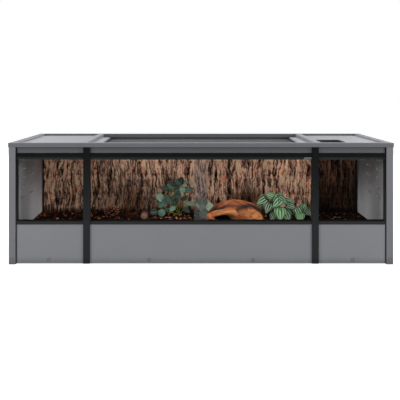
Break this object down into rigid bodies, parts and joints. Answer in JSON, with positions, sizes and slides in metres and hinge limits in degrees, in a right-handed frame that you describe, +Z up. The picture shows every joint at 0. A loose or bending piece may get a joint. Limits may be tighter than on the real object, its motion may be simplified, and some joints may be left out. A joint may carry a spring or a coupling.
{
  "type": "reptile terrarium",
  "caption": "Long, low reptile terrarium with a profile frame, board walls, two sliding glass doors, a lift-out screen top and a planted interior.",
  "frame": {"origin": "middle of the footprint, on the plane that the four foot pads stand on", "axes": "+X to the right seen from the front, +Y to the back, +Z up"},
  "size_m": [1.83, 0.61, 0.577],
  "materials": {
    "frame_grey": "satin powder coat",
    "upright_black": "satin black powder coat",
    "track_black": "extruded black plastic",
    "front_board_grey": "smooth grey foamed PVC board",
    "wall_board_grey": "smooth grey foamed PVC board",
    "top_board_grey": "smooth grey foamed PVC board",
    "pane_glass": "clear tempered glass",
    "stop_grey": "moulded plastic",
    "vent_black": "moulded black plastic",
    "ledge_grey": "satin powder coat",
    "screen_black": "satin black powder coat",
    "net_grey": "fine powder-coated wire net",
    "soil": "loose dark coir and bark chips",
    "bark": "rough ridged bark",
    "leaf_blue_green": "artificial oval leaves",
    "leaf_grey_green": "artificial round leaves",
    "leaf_striped": "artificial leaves with silver stripes",
    "hide_wood": "smooth orange-brown root wood",
    "litter": "bark chips, cut log and cone",
    "screw_grey": "grey screw caps"
  },
  "bodies": {
    "enclosure": {"corner_post_front_left": "frame_grey", "corner_post_front_right": "frame_grey", "corner_post_rear_left": "frame_grey", "corner_post_rear_right": "frame_grey", "foot_caps": "frame_grey", "bottom_rails_front": "frame_grey", "bottom_rail_rear": "frame_grey", "bottom_end_rails": "frame_grey", "bottom_cross_rails": "frame_grey", "top_rail_front": "frame_grey", "top_rail_rear": "frame_grey", "top_rail_left": "frame_grey", "top_rail_right": "frame_grey", "rail_end_caps": "frame_grey", "cross_bar_left": "frame_grey", "cross_bar_right": "frame_grey", "upright_left": "upright_black", "upright_right": "upright_black", "rear_uprights": "upright_black", "fascia_left": "front_board_grey", "fascia_middle": "front_board_grey", "fascia_right": "front_board_grey", "upper_track_left": "track_black", "upper_track_middle": "track_black", "upper_track_right": "track_black", "lower_track_left": "track_black", "lower_track_middle": "track_black", "lower_track_right": "track_black", "side_channel_left": "track_black", "side_channel_right": "track_black", "end_glass_left": "pane_glass", "end_glass_right": "pane_glass", "door_stop": "stop_grey", "front_board_left": "front_board_grey", "front_board_middle": "front_board_grey", "front_board_right": "front_board_grey", "side_board_left": "wall_board_grey", "side_board_right": "wall_board_grey", "rear_boards": "wall_board_grey", "top_board_left": "top_board_grey", "top_board_right": "top_board_grey", "top_vent": "vent_black", "screen_ledges": "ledge_grey", "screen_supports": "track_black", "floor_boards": "wall_board_grey", "substrate": "soil", "bark_left": "bark", "bark_middle": "bark", "bark_right": "bark", "leafy_plant": "leaf_blue_green", "round_leaf_plant": "leaf_grey_green", "striped_plant": "leaf_striped", "wood_hide": "hide_wood", "forest_litter": "litter", "panel_screws": "screw_grey"},
    "door_left": {"glass_door_left": "pane_glass"},
    "door_right": {"glass_door_right": "pane_glass"},
    "screen": {"screen_frame": "screen_black", "screen_net": "net_grey"}
  },
  "joints": [
    {"name": "door_left_slide", "type": "slide", "parent": "enclosure", "child": "door_left", "axis": [1, 0, 0], "range_m": [0, 0.494]},
    {"name": "door_right_slide", "type": "slide", "parent": "enclosure", "child": "door_right", "axis": [1, 0, 0], "range_m": [-0.494, 0]},
    {"name": "screen_lift", "type": "slide", "parent": "enclosure", "child": "screen", "axis": [0, 0, 1], "range_m": [0, 0.15]}
  ]
}
